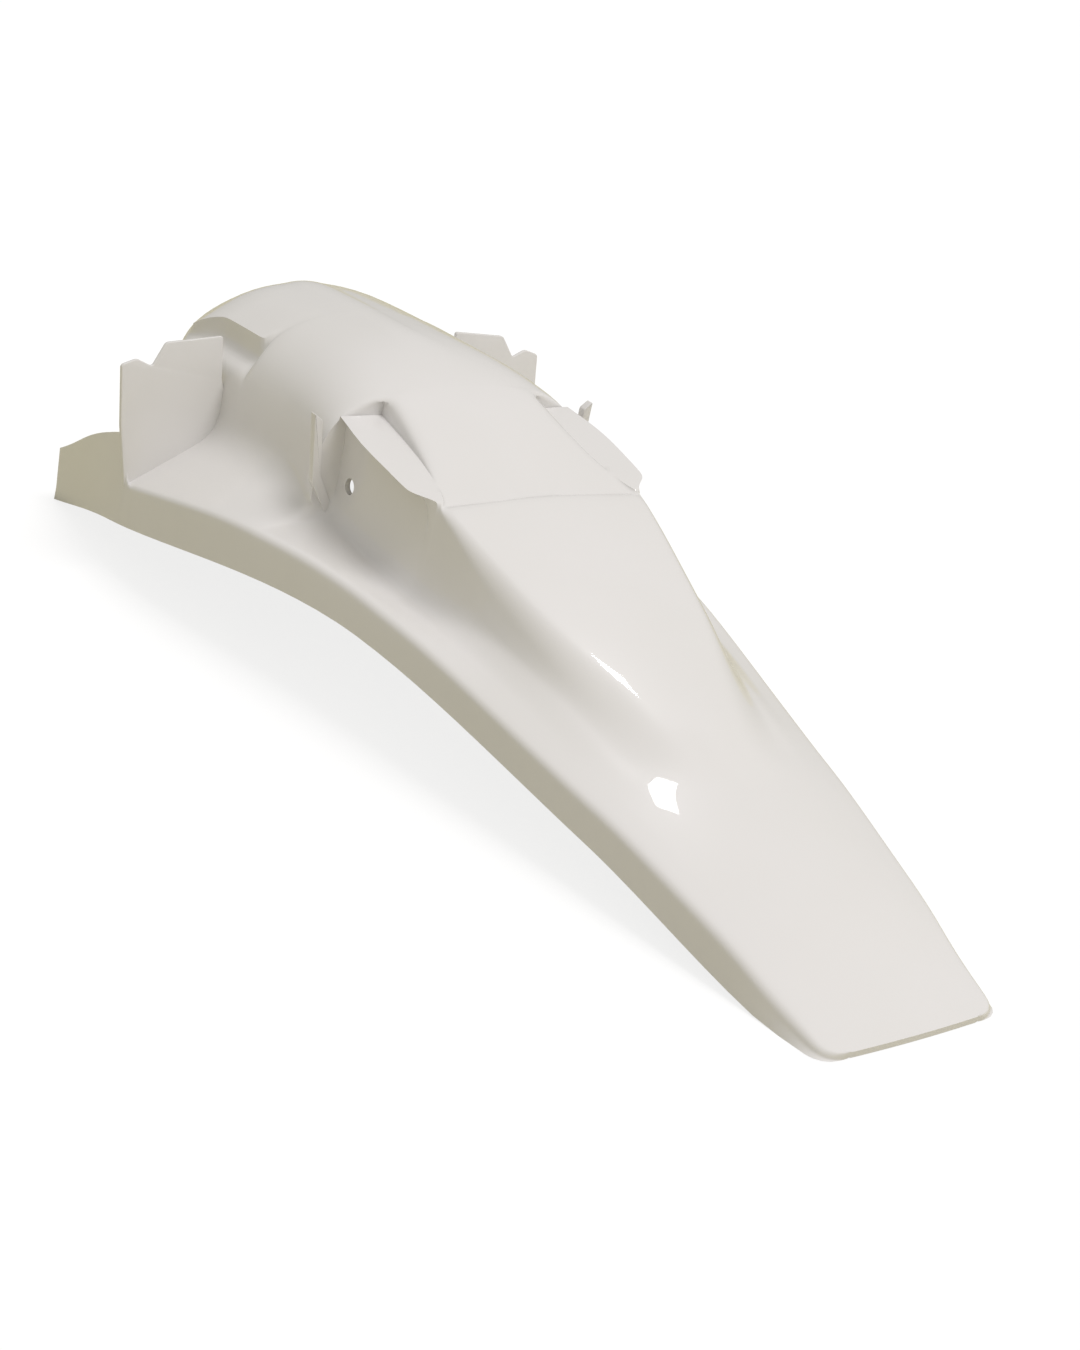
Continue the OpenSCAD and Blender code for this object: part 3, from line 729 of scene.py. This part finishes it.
class FENDER_OT_moulding(bpy.types.Operator):
    """Shape the moulding as one sheet with its even wall, wings, ledges and recesses"""
    bl_idname = "fender.moulding"
    bl_label = "Moulding"

    def execute(self, context):
        form = Form(context.scene.fender_sizes)
        places = form.places()
        plain = [form.row(y, False) for y in places]
        upper = [form.row(y, True) for y in places]
        lower = lower_rows(form, places, plain)
        across, along = len(upper[0]) - 1, len(places) - 1
        # A flat sheet with one vertex per point of the rows on each face, then moved on to them
        bm = bmesh.new()
        bmesh.ops.create_grid(bm, x_segments=across, y_segments=along, size=1.0)
        bmesh.ops.solidify(bm, geom=bm.faces[:], thickness=0.5)
        flat = {v: (round((v.co.y + 1) / 2 * along), round((v.co.x + 1) / 2 * across), v.co.z)
                for v in bm.verts}
        outer = max(z for _, _, z in flat.values())
        crease = bm.edges.layers.float.new("crease_edge")
        for v, (i, j, z) in flat.items():
            v.co = placed((upper if outer - z < 0.1 else lower)[i][j])
        for edge in bm.edges:
            edge[crease] = edge_crease(form, places, across, flat[edge.verts[0]], flat[edge.verts[1]])
        bmesh.ops.recalc_face_normals(bm, faces=bm.faces[:])
        piece = finish_piece(bm, "fender_moulding", plastic())
        soft = piece.modifiers.new("soft", "SUBSURF")
        soft.levels = soft.render_levels = 2
        soft.use_limit_surface = False
        apply_modifiers(piece)
        cut_bores(context, piece, form)
        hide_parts(NODE)
        return {"FINISHED"}


class FENDER_OT_cross_walls(bpy.types.Operator):
    """Stand the two notched cross walls between the hump and the skirts"""
    bl_idname = "fender.cross_walls"
    bl_label = "Cross walls"

    def execute(self, context):
        form = Form(context.scene.fender_sizes)
        x, z0 = form.wall_width / 2, form.rim_z(form.y_cross)
        top = form.foot_z(form.y_cross) + form.cross_high - z0
        side = CROSS_SIDE * top
        inner, skirt = form.hump_width / 2, form.skirt_x(form.y_cross)
        low = form.low_z(form.y_cross) - z0
        outline = [(skirt + CROSS_SEAT, -2 * CROSS_SEAT), (x + CROSS_STEP, side / 2), (x + CROSS_STEP, side),
                   (x - NOTCH_OUT, side + CROSS_FALL),
                   (x - NOTCH_OUT - NOTCH_SLOPE, top - CROSS_FALL - form.notch_deep),
                   (x - NOTCH_OUT - NOTCH_WIDE, top - CROSS_FALL),
                   (x - NOTCH_OUT - NOTCH_WIDE - CROSS_FLAT, top - CROSS_FALL + CROSS_SEAT),
                   (inner + CROSS_SEAT, top), (inner + CROSS_SEAT, low + CROSS_STEP),
                   (inner - form.wall / 2, low - 2 * form.wall),
                   (inner, form.foot_z(form.y_cross) - z0 - form.wall / 2),
                   (skirt - form.wall, -form.wall / 2)]
        bm = moulded_plate(outline, form.wall, CROSS_CORNER, CROSS_RIM)
        bmesh.ops.rotate(bm, verts=bm.verts[:], cent=(0, 0, 0),
                         matrix=Matrix.Rotation(-form.cross_lean, 3, "X"))
        bmesh.ops.translate(bm, verts=bm.verts[:], vec=(0, form.y_cross - LENGTH / 2, z0))
        finish_pair(bm, "fender_cross_walls")
        return {"FINISHED"}


class FENDER_OT_blades(bpy.types.Operator):
    """Stand a narrow blade on the wall in front of each side ledge"""
    bl_idname = "fender.blades"
    bl_label = "Ledge blades"

    def execute(self, context):
        form = Form(context.scene.fender_sizes)
        x, y, low = form.top_x(Y_LEDGE), Y_LEDGE + BLADE_AHEAD, form.foot_z(Y_LEDGE)
        high, tip, sunk = form.ledge_high + BLADE_RISE, x + BLADE_OUT, low - BLADE_SINK
        outline = [(x - BLADE_SEAT, sunk), (x + BLADE_FOOT, sunk),
                   (x + BLADE_BELLY, mix(low, high, BLADE_BELLY_AT)), (tip, high),
                   (tip - BLADE_TIP, high - BLADE_TIP_FALL),
                   (x + BLADE_BACK, mix(low, high, BLADE_BACK_AT))]
        bm = moulded_plate(outline, BLADE_LONG, BLADE_CORNER, BLADE_RIM)
        bmesh.ops.translate(bm, verts=bm.verts[:], vec=(0, y - LENGTH / 2, 0))
        finish_pair(bm, "fender_blades")
        return {"FINISHED"}


# ---------------------------------------------------------------- studio

def sun_lamp(name, towards, strength, spread, colour):
    """A wide even light from one side, kept out of the gloss."""
    lamp = bpy.data.lights.new(name, "SUN")
    lamp.energy, lamp.angle, lamp.color = strength, math.radians(spread), colour
    body = bpy.data.objects.new(name, lamp)
    body.rotation_mode = "QUATERNION"
    body.rotation_quaternion = Vector(towards).to_track_quat("Z", "Y")
    body.visible_glossy = False
    bpy.context.scene.collection.objects.link(body)


def soft_lamp(name, place, aim, size, power):
    """A small square window that the gloss mirrors."""
    lamp = bpy.data.lights.new(name, "AREA")
    lamp.shape, lamp.size, lamp.energy = "SQUARE", size, power
    body = bpy.data.objects.new(name, lamp)
    body.location = place
    body.rotation_mode = "QUATERNION"
    body.rotation_quaternion = (Vector(aim) - Vector(place)).to_track_quat("-Z", "Y")
    body.visible_diffuse = body.visible_camera = False
    bpy.context.scene.collection.objects.link(body)


class FENDER_OT_studio(bpy.types.Operator):
    """Set the pale floor, the soft lamps, the world and the camera"""
    bl_idname = "fender.studio"
    bl_label = "Studio"

    def execute(self, context):
        scene, sizes = context.scene, context.scene.fender_studio
        bm = bmesh.new()
        bmesh.ops.create_grid(bm, x_segments=2, y_segments=2, size=FLOOR_REACH)
        mesh = bpy.data.meshes.new("floor")
        bm.to_mesh(mesh)
        bm.free()
        floor = bpy.data.objects.new("floor", mesh)
        scene.collection.objects.link(floor)
        floor.data.materials.append(floor_finish(scene.fender_colours))
        floor.data.transform(Matrix.Translation((0, 0, CAD_LOW.z)))

        sun_lamp("key", KEY_TOWARDS, KEY_STRENGTH, KEY_SPREAD, KEY_COLOUR)
        soft_lamp("window", WINDOW_PLACE, WINDOW_AIM, WINDOW_SIZE, WINDOW_POWER)

        world = bpy.data.worlds.new("studio")
        scene.world = world
        tree = Tree(world)
        seen = tree.node("ShaderNodeLightPath").out("Is Camera Ray")
        ambient = tree.node("ShaderNodeBackground", {},
                            {"Color": (*scene.fender_colours.ambient, 1), "Strength": 1.0})
        white = tree.node("ShaderNodeBackground", {}, {"Color": (1, 1, 1, 1), "Strength": PAPER_WHITE})
        both = tree.node("ShaderNodeMixShader", {}, [seen, ambient.out(0), white.out(0)])
        tree.node("ShaderNodeOutputWorld", {}, {"Surface": both.out(0)})

        lens = bpy.data.cameras.new("camera")
        lens.lens, lens.sensor_width = sizes.lens, SENSOR_WIDTH
        lens.clip_start, lens.clip_end = 0.01, 50
        camera = bpy.data.objects.new("camera", lens)
        scene.collection.objects.link(camera)
        a, e = sizes.azimuth, sizes.elevation
        ahead = Vector((math.sin(a) * math.cos(e), math.cos(a) * math.cos(e), -math.sin(e)))
        right = ahead.cross(Vector((0, 0, 1))).normalized()
        level_up = right.cross(ahead)
        up = level_up * math.cos(sizes.roll) - right * math.sin(sizes.roll)
        side = ahead.cross(up)
        camera.matrix_world = Matrix((
            (side.x, up.x, -ahead.x, sizes.place[0]), (side.y, up.y, -ahead.y, sizes.place[1]),
            (side.z, up.z, -ahead.z, sizes.place[2]), (0, 0, 0, 1)))
        scene.camera = camera
        scene.view_settings.view_transform = "Standard"
        return {"FINISHED"}


class FENDER_PT_panel(bpy.types.Panel):
    """Buttons and sizes of the fender"""
    bl_idname = "FENDER_PT_panel"
    bl_label = "Fender"
    bl_space_type = "VIEW_3D"
    bl_region_type = "UI"
    bl_category = "Fender"

    def draw(self, context):
        for operator in OPERATORS:
            self.layout.operator(operator.bl_idname)
        for group in (context.scene.fender_sizes, context.scene.fender_colours, context.scene.fender_studio):
            for name in group.__annotations__:
                self.layout.prop(group, name)


GROUPS = (("fender_sizes", FenderSizes), ("fender_colours", FenderColours), ("fender_studio", StudioSizes))
OPERATORS = (FENDER_OT_moulding, FENDER_OT_cross_walls, FENDER_OT_blades, FENDER_OT_studio)


def register():
    for name, group in GROUPS:
        bpy.utils.register_class(group)
        setattr(bpy.types.Scene, name, PointerProperty(type=group))
    for operator in OPERATORS:
        bpy.utils.register_class(operator)
    bpy.utils.register_class(FENDER_PT_panel)


def unregister():
    bpy.utils.unregister_class(FENDER_PT_panel)
    for operator in reversed(OPERATORS):
        bpy.utils.unregister_class(operator)
    for name, group in reversed(GROUPS):
        delattr(bpy.types.Scene, name)
        bpy.utils.unregister_class(group)


def main():
    register()
    bpy.ops.fender.moulding()
    bpy.ops.fender.cross_walls()
    bpy.ops.fender.blades()
    bpy.ops.fender.studio()


if __name__ == "__main__":
    main()
